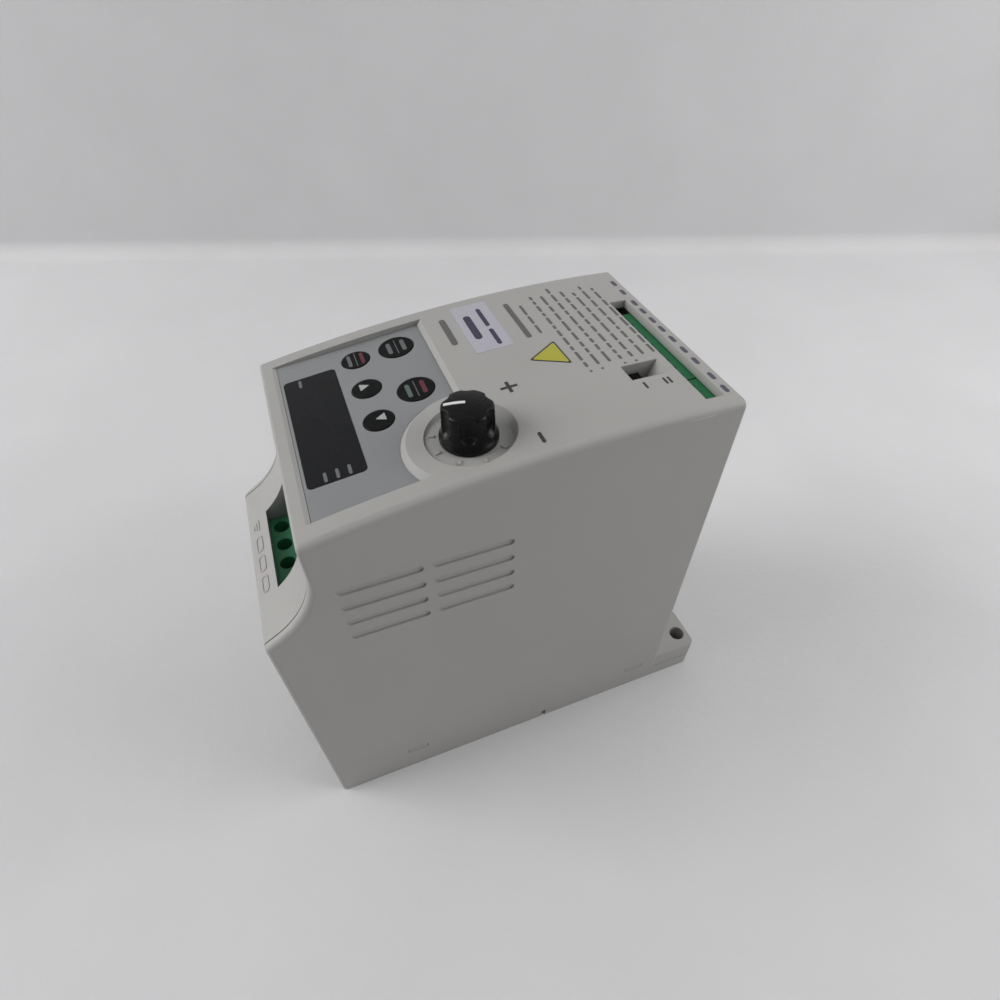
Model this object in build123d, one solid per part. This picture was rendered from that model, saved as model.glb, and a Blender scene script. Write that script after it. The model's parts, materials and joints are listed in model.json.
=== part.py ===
from build123d import *
import math
import os

os.makedirs("parts", exist_ok=True)

# Variable frequency drive lying on its mounting back, millimetres.
# The sub-parts are drawn with X along the long side from the keypad end, Y across the
# width from the drive's left side, and Z up from the mounting plane. save() shifts them
# so that the origin is under the middle of the whole object.

# ---- case ----
LENGTH = 116.0          # keypad end to control-terminal end, without the foot
WIDTH = 68.0
CREST = 128.0           # highest line of the curved front
CREST_X = 93.6
FRONT_R = 412.0         # one arc makes the whole front
WALL = 2.2
SEAM = 0.1              # gap between neighbouring case mouldings
EDGE_R = 1.8            # long edges of the front
RIM_R = 1.6             # rim of the step
END_R = 0.9             # rim of the control-terminal end
SHOULDER_R = 0.9        # edge of the front above the step

# ---- mounting ----
FOOT_LENGTH = 16.0
EAR_WIDTH = 14.5
EAR_HEIGHT = 12.5
HOLE_R = 2.6            # clearance for an M5 screw
EAR_CORNER_R = 2.6
FOOT_STEP = (0.35, 5.5)     # foot's side is set back by this much above this height
HOLE_PITCH_X = 120.0
HOLE_PITCH_Y = 56.0
FOOT_HOLE = (128.0, 6.0)
EAR_HOLE = (FOOT_HOLE[0] - HOLE_PITCH_X, FOOT_HOLE[1] + HOLE_PITCH_Y)
TOTAL = LENGTH + FOOT_LENGTH

# ---- step at the keypad end, over the power terminals ----
STEP_X = 14.0
STEP_Y = WIDTH - EAR_WIDTH
COVE_R = 23.0
COVE_TOP = 112.0
PANEL_TOP = 112.5
COVE_SWEEP = math.radians(57.0)
NOSE_R = 1.8
PANEL_T = 2.0
PANEL_SEAM = 0.25       # joint between the panel and the rims beside it
PANEL_GAP = 0.15        # under the panel, over the terminals
WINDOW_X = (5.6, 12.4)
WINDOW_Y = (14.2, 40.0)
SKIRT_T = 1.2           # wall that hangs from the panel at the window's far end

# ---- vents, the same on both long sides ----
VENT_X = ((18.4, 37.9), (40.0, 59.6))
VENT_ROWS = 4
VENT_PITCH = 5.86
VENT_TOP_Z = 103.5
VENT_HEIGHT = 2.1
VENT_DEPTH = 0.45

# ---- openings in the walls ----
LATCH_X = ((23.6, 29.9), (103.4, 109.7))
LATCH_Z = (10.6, 12.2)
LATCH_GAP = 0.2
PRY_SLOT = (71.0, 72.6, 3.7)    # x range and height of the notch at the mounting plane
END_OPENING_Y = (5.0, 63.0)
END_OPENING_Z = (15.0, 104.0)
WIRE_SLOT_Y = (5.1, 47.5)
WIRE_SLOT_Z = (114.0, 121.0)
AIR_SLOT_Y = (16.5, 64.0)
AIR_SLOT_TOP = 10.5

# ---- raised panel on the control-terminal end ----
END_PANEL_T = 1.2
END_PANEL_Y = (1.8, 66.2)
END_PANEL_Z = (12.8, 106.8)

# ---- keypad recess ----
RECESS_X = (18.05, 56.2)
RECESS_Y = (5.6, 63.1)
FILM_Z0 = 120.5         # film's top face at the recess's low end
FILM_SLOPE = 0.118
FILM_T = 0.5
FILM_GAP = 0.1
FLOOR_T = 1.6
LOW_BEVEL = 1.0         # slope down into the recess at its low end
HIGH_BEVEL = 1.2        # and at its high end
BACKING = 2.4           # how far the recess floor runs on under the front
DISPLAY_X = (18.9, 32.0)
DISPLAY_Y = (15.3, 55.2)
GLASS_CORNER = 1.2
GLASS_LEDGE = 1.0       # width of the recess floor under the window's edge

# ---- knob and its dish ----
KNOB = (54.5, 14.5)
DISH_R = 10.6
DISH_FLOOR_R = 9.7
DISH_Z = 124.7
LAND_R = 13.8           # raised land between the dish and the keypad recess
LAND_BEVEL = 1.4        # its edge slopes down to the film at 45 degrees
TICKS = 8
TICK_ANGLE = 37.0
TICK_PITCH = 40.0
TICK_R = 8.3
TICK_SIZE = (1.4, 0.7)
TICK_PROUD = 0.3
SHAFT_R = 3.0
SHAFT_GAP = 0.05
SHAFT_DEPTH = 3.0       # knob material over the shaft's end
KNOB_TOP = 134.3
KNOB_BASE = 125.0
DOME_H = 0.8
SHOULDER_ROUND = 0.9    # between the knob's top and its grip
SKIRT_R = 6.6
GRIP_R = 5.7
FLUTES = 6
FLUTE_ANGLE = 12.0
FLUTE_R = 2.4
FLUTE_DEPTH = 1.0
FLUTE_END = 4.4         # centre of the flute's round lower end, above the knob's base
POINTER_ANGLE = 162.0
POINTER_X = (0.4, 5.0)
POINTER_WIDTH = 0.75
POINTER_DEPTH = 0.5
POINTER_PROUD = 0.15

# ---- keys: name, x, y, radius ----
SMALL_KEY_R = 3.6
LARGE_KEY_R = 4.5
KEYS = {
    "mode_reset": (37.8, 55.8, SMALL_KEY_R),
    "prog_data": (48.6, 55.8, LARGE_KEY_R),
    "down": (37.8, 42.7, SMALL_KEY_R),
    "up": (37.8, 29.8, SMALL_KEY_R),
    "run_stop": (48.6, 36.5, LARGE_KEY_R),
}
KEY_GAP = 0.2
KEY_PROUD = 0.15
KEY_FLANGE = 0.8        # flange's reach and its thickness
PLUNGER_R = 1.7
PLUNGER_TOP = 116.3
PLUNGER_LENGTH = 3.1
SWITCH_SIDE = 6.2

# ---- analogue input selector ----
SELECT_X = (95.2, 105.0)
SELECT_Y = (16.1, 21.9)
LEVER_X = 98.2          # lever at V
LEVER_TRAVEL = 2.6      # to I
LEVER_Y = 19.0
LEVER_SIZE = (3.2, 4.2)
LEVER_TOP = 126.0
PIT_DEPTH = 6.8
PIT_SLOPE = 2.6
PIT_WALL = 1.2
SELECTOR_TOP = 118.4

# ---- control terminals: y range, first pole, pitch, poles ----
SLOT_X = (107.2, 112.1)
SLOT_Y = (4.1, 50.0)
CONTROL_TOP = 125.0
CONTROL_BLOCK_X = (104.6, 112.6)
CONTROL_POLES = {
    "control_terminals_relay": ((4.6, 14.7), 7.1, 5.08, 2),
    "control_terminals_signal": ((15.1, 47.1), 17.1, 3.5, 9),
}
CONTROL_SCREW_X = 108.9

# ---- decks ----
BOARD_T = 1.6
SINK_TOP = 16.0
POWER_Z = 25.0
TERMINAL_Z = 75.4
CONTROL_Z = 110.4
POWER_DECK = POWER_Z + BOARD_T
TERMINAL_DECK = TERMINAL_Z + BOARD_T
CONTROL_DECK = CONTROL_Z + BOARD_T
CORNER = (19.0, 48.9)   # where the inner parts step in to clear the ear's pocket
POSTS = [(20.0, 8.5), (23.5, 59.5), (100.0, 59.5), (84.0, 8.5)]
POST_R = 3.0
POST_HOLE_R = 1.3
STUD_R = 1.2
BOARD_HOLE_R = 1.4

# ---- heat sink and tray ----
SINK_X = (4.2, 111.6)
SINK_Y = (4.4, 63.6)
FINS = 12
FIN_T = 1.6
FIN_PITCH = 4.9
FIN_FIRST_Y = 6.0
FIN_LOW = 0.8
TRAY_LOW = 9.0
TRAY_TOP = 16.4

# ---- power terminals ----
BLOCK_HEIGHT = 14.0
POLE_PITCH = 6.35
WIRE_HOLE_Z = (1.2, 5.4)        # above the board
WIRE_HOLE_HALF = 2.1
SCREW_HEAD_R = 1.8
SCREW_R = 1.15
BORE_GAP = 0.15
INPUT_X = (2.5, 13.2)
INPUT_Y = (16.4, 39.7)
INPUT_FIRST_Y = 23.5
INPUT_SCREW_X = 8.3
INPUT_POLES = 3
DIVIDER_TOP = 10.5
MOTOR_X = (102.6, 113.4)
MOTOR_Y = (18.0, 46.0)
MOTOR_FIRST_Y = 22.5
MOTOR_SCREW_Z = 10.0
MOTOR_POLES = 4

# ---- boxes on the boards: x range, then y range ----
POWER_MODULE = (58.0, 96.0, 20.0, 50.0)
BRIDGE_RECTIFIER = (26.0, 46.0, 24.0, 42.0)
GATE_DRIVER = (90.0, 104.0, 34.0, 46.0)
INRUSH_RELAY = (30.0, 49.0, 8.0, 23.5)
FILM_CAPACITOR = (80.0, 98.0, 42.0, 52.0)
ALARM_RELAY = (88.0, 101.0, 4.4, 14.2)
PROCESSOR = (66.0, 80.0, 34.0, 48.0)
DISPLAY_MODULE = (20.2, 31.0, 20.4, 49.6)
THERMAL_PAD_T = 0.3
TERMINAL_BOX_TOP = 92.0

# ---- round parts on the boards ----
BUS_CAPACITORS = [(38.0, 18.0), (38.0, 46.0), (65.0, 20.0)]
BUS_CAPACITOR_R = 12.4
BUS_CAPACITOR_H = 45.0
SMALL_CAPACITORS = [(66.0, 24.0), (74.0, 24.0), (86.0, 30.0), (86.0, 40.0)]
SMALL_CAPACITOR_TOP = 120.0
CHOKE = (56.0, 44.0)
CHOKE_RING = (7.0, 12.0)        # inner and outer radius
CHOKE_COIL = (5.0, 14.0)
CHOKE_Z = (79.0, 87.0)
CHOKE_SPLIT = 7.0
TRANSFORMER_X = (58.0, 76.0)
TRANSFORMER_Y = (8.0, 24.0)
TRANSFORMER_Z = (82.0, 96.0)
CORE_YOKE = 2.4
CORE_WINDOW = 4.0
COIL_OVERHANG = 2.5
VARISTOR = (90.0, 30.0, 84.5)
VARISTOR_R = 6.0
VARISTOR_T = 4.0
FUSE_AXIS = (60.0, 82.0)        # y and z
FUSE_R = 2.5
FUSE_X = (42.0, 60.0)
CLIP_X = (43.5, 55.5)
CLIP_T = 3.0

# ---- display ----
DIGITS = 4
DIGIT_PITCH = 7.3
DIGIT_X = 25.6
MODULE_TOP = 118.4
LED_SPOTS = [(22.4, 17.9), (25.6, 17.9), (28.8, 17.9), (25.6, 52.6)]
LED_R = 1.1
LED_TOP = 118.0


# ---------------------------------------------------------------- helpers
def save(name, shape):
    """Writes one sub-part, shifted to the object's own origin."""
    shift = Location((-TOTAL / 2, -WIDTH / 2, 0))
    solids = [solid.moved(shift) for solid in shape.solids()]
    export_step(solids[0] if len(solids) == 1 else Compound(solids), f"parts/{name}.step")


def block(x0, x1, y0, y1, z0, z1):
    centre = Pos((x0 + x1) / 2, (y0 + y1) / 2, (z0 + z1) / 2)
    return centre * Box(x1 - x0, y1 - y0, z1 - z0)


def post(x, y, r, z0, z1):
    return Pos(x, y, (z0 + z1) / 2) * Cylinder(r, z1 - z0)


def rod_x(y, z, r, x0, x1):
    return Pos((x0 + x1) / 2, y, z) * Rot(0, 90, 0) * Cylinder(r, x1 - x0)


def join(pieces):
    """Several separate or touching solids as one shape."""
    total = pieces[0]
    for piece in pieces[1:]:
        total = total + piece
    return total


def group(pieces):
    """Solids that stay apart, kept in one sub-part."""
    return Compound([solid for piece in pieces for solid in piece.solids()])


def front_z(x):
    """Height of the curved front at x."""
    return CREST - FRONT_R + math.sqrt(FRONT_R**2 - (x - CREST_X) ** 2)


def film_z(x):
    """Height of the keypad film's top face at x."""
    return FILM_Z0 + FILM_SLOPE * (x - RECESS_X[0])


def under_front(x0, x1, y0, y1, z0, drop):
    """A block whose top follows the curved front, drop millimetres below it."""
    crown = Pos(CREST_X, (y0 + y1) / 2, CREST - FRONT_R) * Rot(90, 0, 0)
    return block(x0, x1, y0, y1, z0, CREST + 1) & crown * Cylinder(FRONT_R - drop, y1 - y0 + 2)


def under_film(x0, x1, y0, y1, z0, drop):
    """A block whose top is parallel to the keypad film, drop millimetres below its face."""
    outline = [(x0, z0), (x1, z0), (x1, film_z(x1) - drop), (x0, film_z(x0) - drop)]
    return prism_y(outline, y0, y1)


def prism_y(outline, y0, y1):
    """An outline of (x, z) points pushed along Y."""
    face = make_face(Polyline(*[(x, 0, z) for x, z in outline], close=True))
    return Pos(0, y0, 0) * extrude(face, y1 - y0, dir=(0, 1, 0))


def cove_section(inset, y0, y1, z0, z1):
    """The step's solid, from its end wall to STEP_X, inset from the outside by a wall."""
    centre_x, centre_z = STEP_X - COVE_R, COVE_TOP
    r = COVE_R + inset
    low = (centre_x + r * math.cos(COVE_SWEEP), centre_z - r * math.sin(COVE_SWEEP))
    half = COVE_SWEEP / 2
    middle = (centre_x + r * math.cos(half), centre_z - r * math.sin(half))
    top = (centre_x + r, centre_z)
    slope = math.tan(math.pi / 2 - COVE_SWEEP)
    corner = (inset, low[1] - slope * (low[0] - inset))
    back = STEP_X + PANEL_T + inset + 1

    def at(p):
        return (p[0], y0, p[1])

    edges = [
        Line(at((inset, z0)), at(corner)),
        Line(at(corner), at(low)),
        ThreePointArc(at(low), at(middle), at(top)),
        Line(at(top), at((top[0], z1))),
        Line(at((top[0], z1)), at((back, z1))),
        Line(at((back, z1)), at((back, z0))),
        Line(at((back, z0)), at((inset, z0))),
    ]
    solid = extrude(make_face(Wire(edges)), y1 - y0, dir=(0, 1, 0))
    nose = [e for e in solid.edges().filter_by(Axis.Y)
            if abs(e.center().X - corner[0]) < 0.01 and abs(e.center().Z - corner[1]) < 0.01]
    return fillet(nose, NOSE_R + (0 if inset == 0 else -0.8))


def rounded_slot(x0, x1, z, height, y0, y1):
    """A round-ended groove along X, cut from the side."""
    r = height / 2
    ends = [Pos(x, (y0 + y1) / 2, z) * Rot(90, 0, 0) * Cylinder(r, y1 - y0) for x in (x0 + r, x1 - r)]
    return block(x0 + r, x1 - r, y0, y1, z - r, z + r) + ends[0] + ends[1]


# ---------------------------------------------------------------- case mouldings
def edges_at(shape, x, y=None, axis=None):
    """Edges whose middle is at the given x, and at the given y and along the given axis if set."""
    found = shape.edges() if axis is None else shape.edges().filter_by(axis)
    found = found.filter_by(lambda e: abs(e.center().X - x) < 0.01)
    if y is not None:
        found = found.filter_by(lambda e: abs(e.center().Y - y) < 0.01)
    return found


def rounded_box(x0, x1, y0, y1, z0, z1, r):
    """A block with the edges of its top rounded."""
    return fillet(block(x0, x1, y0, y1, z0, z1).edges().group_by(Axis.Z)[-1], r)


def case_outside():
    """The case as a solid, with its rounded edges and before it is hollowed."""
    solid = under_front(STEP_X, LENGTH, 0, WIDTH, 0, 0)
    long_edges = solid.edges().filter_by(GeomType.CIRCLE)
    solid = fillet(long_edges, EDGE_R)
    rim = solid.edges().filter_by(lambda e: abs(e.center().X - LENGTH) < 0.6 and e.center().Z > 1)
    solid = fillet(rim, END_R)
    shoulder = solid.edges().filter_by(
        lambda e: abs(e.center().X - STEP_X) < 0.6 and e.center().Z > front_z(STEP_X) - EDGE_R)
    solid = fillet(shoulder, SHOULDER_R)
    step = cove_section(0, 0, STEP_Y, 0, COVE_TOP + 2)
    lowest = COVE_TOP - COVE_R - 1
    rims = step.edges().filter_by(
        lambda e: min(abs(e.center().Y), abs(e.center().Y - STEP_Y)) < 0.01
        and lowest < e.center().Z < COVE_TOP)
    return solid + fillet(rims, RIM_R)


def case_inside():
    """The space inside the case's walls, open at the mounting plane."""
    room = under_front(STEP_X + WALL, LENGTH - WALL, WALL, WIDTH - WALL, -1, WALL)
    step_room = block(-1, STEP_X + WALL + 1, WALL, STEP_Y - WALL, -1, PANEL_TOP + SEAM)
    return room + step_room


def mounting_ears():
    """The foot beyond the control-terminal end and the ear in the step's notch."""
    foot = block(LENGTH - 4, TOTAL, 0, EAR_WIDTH, 0, EAR_HEIGHT)
    foot = fillet(edges_at(foot, TOTAL, 0, Axis.Z), EAR_CORNER_R)
    foot = foot - block(LENGTH - 5, TOTAL + 1, -1, FOOT_STEP[0], FOOT_STEP[1], EAR_HEIGHT + 1)
    foot = foot - block(LENGTH - WALL - 10, LENGTH - WALL, WALL, EAR_WIDTH + 1, -1, EAR_HEIGHT + 1)
    ear = block(0, STEP_X + 1, STEP_Y - 1, WIDTH, 0, EAR_HEIGHT)
    ear = fillet(edges_at(ear, 0, WIDTH, Axis.Z), EAR_CORNER_R)
    return foot, ear


def land(grow=0.0):
    """The raised land round the knob, as a cone that stands square on the film."""
    tilt = math.degrees(math.atan(FILM_SLOPE))
    below, above = 1.0, 3.0
    foot_r = LAND_R + LAND_BEVEL + grow
    cone = Cone(foot_r + below, foot_r - above, below + above)
    return Pos(*KNOB, film_z(KNOB[0])) * Rot(0, -tilt, 0) * Pos(0, 0, (above - below) / 2) * cone


def key_recess():
    """The space that the keypad film lies in: a sloping floor with a bevel at each end."""
    x0, x1 = RECESS_X
    deep = prism_y([(x0, film_z(x0) - FILM_T), (x1, film_z(x1) - FILM_T), (x1, CREST + 1), (x0, CREST + 1)],
                   *RECESS_Y)
    low = prism_y([(x0 + 0.01, film_z(x0)), (x0 + 0.01, CREST + 1), (x0 - LOW_BEVEL, CREST + 1),
                   (x0 - LOW_BEVEL, front_z(x0 - LOW_BEVEL))], *RECESS_Y)
    top = front_z(x1) + 0.2
    high = prism_y([(x1 - 0.01, film_z(x1)), (x1 + HIGH_BEVEL, top), (x1 + HIGH_BEVEL, CREST + 1),
                    (x1 - 0.01, CREST + 1)], RECESS_Y[0] + 0.6, RECESS_Y[1])
    return (deep + low + high) - land()


def recess_backing():
    """Material under the recess floor and under the dish, which the thin front lacks."""
    x0, x1 = RECESS_X[0] - BACKING, RECESS_X[1] + BACKING
    low = FILM_T + FLOOR_T
    floor = prism_y([(x0, film_z(x0) - low), (x1, film_z(x1) - low), (x1, film_z(x1) - FILM_T),
                     (x0, film_z(x0) - FILM_T)], RECESS_Y[0] - BACKING, RECESS_Y[1] + BACKING)
    dish_floor = post(*KNOB, DISH_R + FLOOR_T, DISH_Z - FLOOR_T, CREST)
    inside = under_front(KNOB[0] - LAND_R, KNOB[0] + LAND_R, WALL / 2, WIDTH / 2, 100, 0.5)
    return floor + (dish_floor & inside)


def window_outline(grow):
    """The display window's outline as a tall block with rounded corners."""
    tall = block(DISPLAY_X[0] - grow, DISPLAY_X[1] + grow, DISPLAY_Y[0] - grow, DISPLAY_Y[1] + grow,
                 CONTROL_Z, CREST)
    return fillet(tall.edges().filter_by(Axis.Z), GLASS_CORNER)


def dish():
    """The knob's dish with its slightly flared wall, and the shaft's hole."""
    height = front_z(KNOB[0] + DISH_R) + 0.2 - DISH_Z
    bowl = Pos(*KNOB, DISH_Z + height / 2) * Cone(DISH_FLOOR_R, DISH_R + 0.2, height)
    return bowl + post(*KNOB, SHAFT_R + 0.6, CONTROL_Z, CREST)


def dish_ticks():
    ticks = []
    sunk = 0.2
    for step in range(TICKS):
        degrees = TICK_ANGLE + TICK_PITCH * step
        angle = math.radians(degrees)
        x, y = KNOB[0] + TICK_R * math.cos(angle), KNOB[1] + TICK_R * math.sin(angle)
        bar = Box(*TICK_SIZE, TICK_PROUD + sunk)
        ticks.append(Pos(x, y, DISH_Z + (TICK_PROUD - sunk) / 2) * Rot(0, 0, degrees) * bar)
    return join(ticks)


def selector_pit():
    """A funnel down to the selector: its high-end wall slopes, the others are upright."""
    x0, x1 = SELECT_X
    top, low = CREST + 1, CREST - PIT_DEPTH
    outline = [(x0, low), (x1 - PIT_SLOPE, low), (x1, front_z(x1)), (x1, top), (x0, top)]
    return prism_y(outline, *SELECT_Y)


def pit_shroud():
    """The walls of the selector's pit below the front."""
    return under_front(SELECT_X[0] - PIT_WALL, SELECT_X[1] - PIT_WALL / 2, SELECT_Y[0] - PIT_WALL,
                       SELECT_Y[1] + PIT_WALL, CREST - PIT_DEPTH + 0.6, 1)


def vents():
    """Two columns of shallow, round-ended grooves on each long side."""
    grooves = []
    for row in range(VENT_ROWS):
        z = VENT_TOP_Z - VENT_PITCH * row
        for x0, x1 in VENT_X:
            grooves.append(rounded_slot(x0, x1, z, VENT_HEIGHT, -1, VENT_DEPTH))
            grooves.append(rounded_slot(x0, x1, z, VENT_HEIGHT, WIDTH - VENT_DEPTH, WIDTH + 1))
    return join(grooves)



def latch_windows():
    """Openings low in the long walls, which the base tray's hooks fill."""
    windows = []
    for x0, x1 in LATCH_X:
        for y0, y1 in ((-1, WALL + 1), (WIDTH - WALL - 1, WIDTH + 1)):
            windows.append(block(x0 - LATCH_GAP, x1 + LATCH_GAP, y0, y1, LATCH_Z[0] - LATCH_GAP,
                                 LATCH_Z[1] + LATCH_GAP))
    return windows


def case():
    """Front and both long sides in one moulding, with the foot and the ear."""
    foot, ear = mounting_ears()
    shell = case_outside() - case_inside()
    shell = shell + foot + ear + pit_shroud() + recess_backing()
    end_x = (LENGTH - WALL - 1, LENGTH + 1)
    cuts = [
        key_recess(), dish(), selector_pit(), vents(),
        block(*SLOT_X, *SLOT_Y, CONTROL_TOP - 1, CREST + 1),
        block(*end_x, *END_OPENING_Y, *END_OPENING_Z),
        block(*end_x, *WIRE_SLOT_Y, *WIRE_SLOT_Z),
        block(*end_x, *AIR_SLOT_Y, -1, AIR_SLOT_TOP),
        post(*FOOT_HOLE, HOLE_R, -1, EAR_HEIGHT + 1),
        post(*EAR_HOLE, HOLE_R, -1, EAR_HEIGHT + 1),
        window_outline(-GLASS_LEDGE),
        block(*PRY_SLOT[:2], -1, 1, -1, PRY_SLOT[2]),
    ] + latch_windows()
    for x, y, r in KEYS.values():
        cuts.append(post(x, y, r + KEY_GAP, CONTROL_Z, CREST))
    for cut in cuts:
        shell = shell - cut
    return shell + dish_ticks()


def terminal_panel():
    """Curved cover over the power terminals, with the end wall below it."""
    y0, y1 = WALL + PANEL_SEAM, STEP_Y - WALL - PANEL_SEAM
    outer = cove_section(0, y0, y1, EAR_HEIGHT, PANEL_TOP)
    inner = cove_section(PANEL_T, y0 - 1, y1 + 1, EAR_HEIGHT - 1, COVE_TOP + 1)
    window = block(*WINDOW_X, *WINDOW_Y, COVE_TOP - COVE_R - 4, PANEL_TOP)
    wire_window = block(-1, PANEL_T + 1, INPUT_Y[0] + 0.6, INPUT_Y[1] - 0.6, TERMINAL_DECK + 0.8,
                        TERMINAL_DECK + 9)
    hung = cove_section(PANEL_T - 0.2, WINDOW_Y[1], WINDOW_Y[1] + SKIRT_T, EAR_HEIGHT,
                        PANEL_TOP)
    skirt = hung & block(*INPUT_X, WINDOW_Y[1] - 1, WINDOW_Y[1] + SKIRT_T + 1,
                         TERMINAL_DECK + DIVIDER_TOP + 0.2, COVE_TOP)
    return (outer - inner) - window - wire_window + skirt


def end_panel():
    """Proud panel on the control-terminal end, with the motor terminals' window."""
    plate = block(LENGTH, LENGTH + END_PANEL_T, *END_PANEL_Y, *END_PANEL_Z)
    plate = fillet(edges_at(plate, LENGTH + END_PANEL_T), END_PANEL_T / 2)
    fit = 0.15
    y0, y1 = END_OPENING_Y
    z0, z1 = END_OPENING_Z
    plug = block(LENGTH - WALL, LENGTH, y0 + fit, y1 - fit, z0 + fit, z1 - fit)
    window = block(LENGTH - WALL - 1, LENGTH + 2, MOTOR_Y[0] + 0.6, MOTOR_Y[1] - 0.6,
                   TERMINAL_DECK + 0.8, TERMINAL_DECK + BLOCK_HEIGHT + 0.4)
    return plate + plug - window


# ---------------------------------------------------------------- heat sink and tray
def clear_corner(z0, z1):
    return block(-1, CORNER[0], CORNER[1], WIDTH, z0, z1)


def heat_sink():
    sink = block(*SINK_X, *SINK_Y, EAR_HEIGHT, SINK_TOP)
    for i in range(FINS):
        y = FIN_FIRST_Y + FIN_PITCH * i
        sink = sink + block(*SINK_X, y, y + FIN_T, FIN_LOW, EAR_HEIGHT)
    sink = sink - clear_corner(0, SINK_TOP + 1)
    for x, y in POSTS:
        sink = sink - post(x, y, POST_HOLE_R, EAR_HEIGHT - 1, SINK_TOP + 1)
    return sink


def base_tray():
    """Plastic frame round the heat sink, with four hooks that show in the case's windows."""
    upper = EAR_HEIGHT + 0.2
    rails = [
        block(2.3, 113.6, 2.3, 4.2, TRAY_LOW, TRAY_TOP),
        block(17.2, 113.6, 63.8, 65.7, TRAY_LOW, TRAY_TOP),
        block(111.8, 113.6, 2.3, 65.7, upper, TRAY_TOP),
        block(2.3, 4.0, 2.3, 51.0, upper, TRAY_TOP),
        block(2.3, 18.8, 49.1, 51.0, upper, TRAY_TOP),
        block(17.2, 18.8, 49.1, 65.7, upper, TRAY_TOP),
    ]
    flush = 0.05
    hooks = []
    for x0, x1 in LATCH_X:
        hooks.append(block(x0, x1, flush, 3.0, *LATCH_Z))
        hooks.append(block(x0, x1, WIDTH - 3.0, WIDTH - flush, *LATCH_Z))
    return join(rails + hooks)


def standoffs(z0, z1, stud):
    """Four posts on the common pattern, each with a stud below and a threaded hole above."""
    posts = []
    for x, y in POSTS:
        pillar = post(x, y, POST_R, z0, z1) + post(x, y, STUD_R, z0 - stud, z0)
        posts.append(pillar - post(x, y, POST_HOLE_R, z1 - 7.5, z1 + 1))
    return posts


def all_standoffs():
    """The posts of the three decks."""
    decks = [(SINK_TOP, POWER_Z, 3.0), (POWER_DECK, TERMINAL_Z, 6.0), (TERMINAL_DECK, CONTROL_Z, 6.0)]
    return group([pillar for deck in decks for pillar in standoffs(*deck)])


def board(x0, x1, z):
    plate = block(x0, x1, 4, 64, z, z + BOARD_T) - clear_corner(z - 1, z + 3)
    for x, y in POSTS:
        plate = plate - post(x, y, BOARD_HOLE_R, z - 1, z + 3)
    return plate


def board_screws():
    """Pan-head cross-slot screws that hold the control board down."""
    screws = []
    head_r, head_h = 2.5, 1.8
    reach, half = 1.3, 0.25
    top = CONTROL_DECK
    for x, y in POSTS:
        head = post(x, y, head_r, top, top + head_h)
        head = fillet(head.edges().group_by(Axis.Z)[-1], 0.6)
        cross = block(x - reach, x + reach, y - half, y + half, top + 1.0, top + 3)
        cross = cross + block(x - half, x + half, y - reach, y + reach, top + 1.0, top + 3)
        screws.append(head + post(x, y, STUD_R, top - 8, top) - cross)
    return group(screws)


def pinned_chip(x0, x1, y0, y1, z0, z1, pins):
    """A power device on the heat sink, its pins reaching up to the board above."""
    inset, pin_r = 1.2, 0.5
    legs = []
    for i in range(pins):
        x = x0 + (i + 0.5) * (x1 - x0) / pins
        for y in (y0 + inset, y1 - inset):
            legs.append(post(x, y, pin_r, z1 - 0.2, POWER_Z))
    return join([rounded_box(x0, x1, y0, y1, z0, z1, 0.5)] + legs)


def bus_capacitor(x, y):
    """Electrolytic can standing on the power board, with its rolled groove and scored top."""
    r, base = BUS_CAPACITOR_R, POWER_DECK
    top = base + BUS_CAPACITOR_H
    can = post(x, y, r, base, top)
    can = fillet(can.edges().filter_by(GeomType.CIRCLE), 1.0)
    groove = post(x, y, r + 1, base + 3.4, base + 5.0) - post(x, y, r - 0.8, base + 3, base + 6)
    reach, score = 8.0, 0.3
    scores = block(x - reach, x + reach, y - score, y + score, top - score, top + 1)
    scores = scores + block(x - score, x + score, y - reach, y + reach, top - score, top + 1)
    return can - groove - scores


def deck_link(x, y, z0, z1):
    """Row of pins between two boards, with a plastic strip at each end."""
    pins, pitch, half, height = 5, 2.54, 1.5, 6.0
    links = [block(x - half, x + half, y - half, y + pitch * (pins - 1) + half, z, z + height)
             for z in (z0, z1 - height)]
    return join(links + [post(x, y + pitch * i, 0.5, z0, z1) for i in range(pins)])


# ---------------------------------------------------------------- power terminals
def under_panel():
    """The space behind the curved panel, with a small gap."""
    return cove_section(PANEL_T + PANEL_GAP, WALL, STEP_Y, TERMINAL_Z - 10, PANEL_TOP)


def poles(first, count):
    """The Y of each pole of a power terminal block."""
    return [first + POLE_PITCH * i for i in range(count)]


def wire_holes(x0, x1, spots):
    """Square holes that the wires go in by."""
    low, high = (TERMINAL_DECK + z for z in WIRE_HOLE_Z)
    return join([block(x0, x1, y - WIRE_HOLE_HALF, y + WIRE_HOLE_HALF, low, high) for y in spots])


def input_block():
    """Three-pole mains terminal block: screws from the front, wires through the end wall."""
    base, top = TERMINAL_DECK, TERMINAL_DECK + BLOCK_HEIGHT
    spots = poles(INPUT_FIRST_Y, INPUT_POLES)
    body = block(*INPUT_X, *INPUT_Y, base, top) & under_panel()
    for y in spots:
        body = body - post(INPUT_SCREW_X, y, SCREW_HEAD_R + BORE_GAP, top - 7.5, top + 1)
        body = body - post(INPUT_SCREW_X, y, SCREW_R + 0.1, base + 4, top - 7)
    return body - wire_holes(INPUT_X[0] - 0.5, 11.5, spots)


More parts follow.
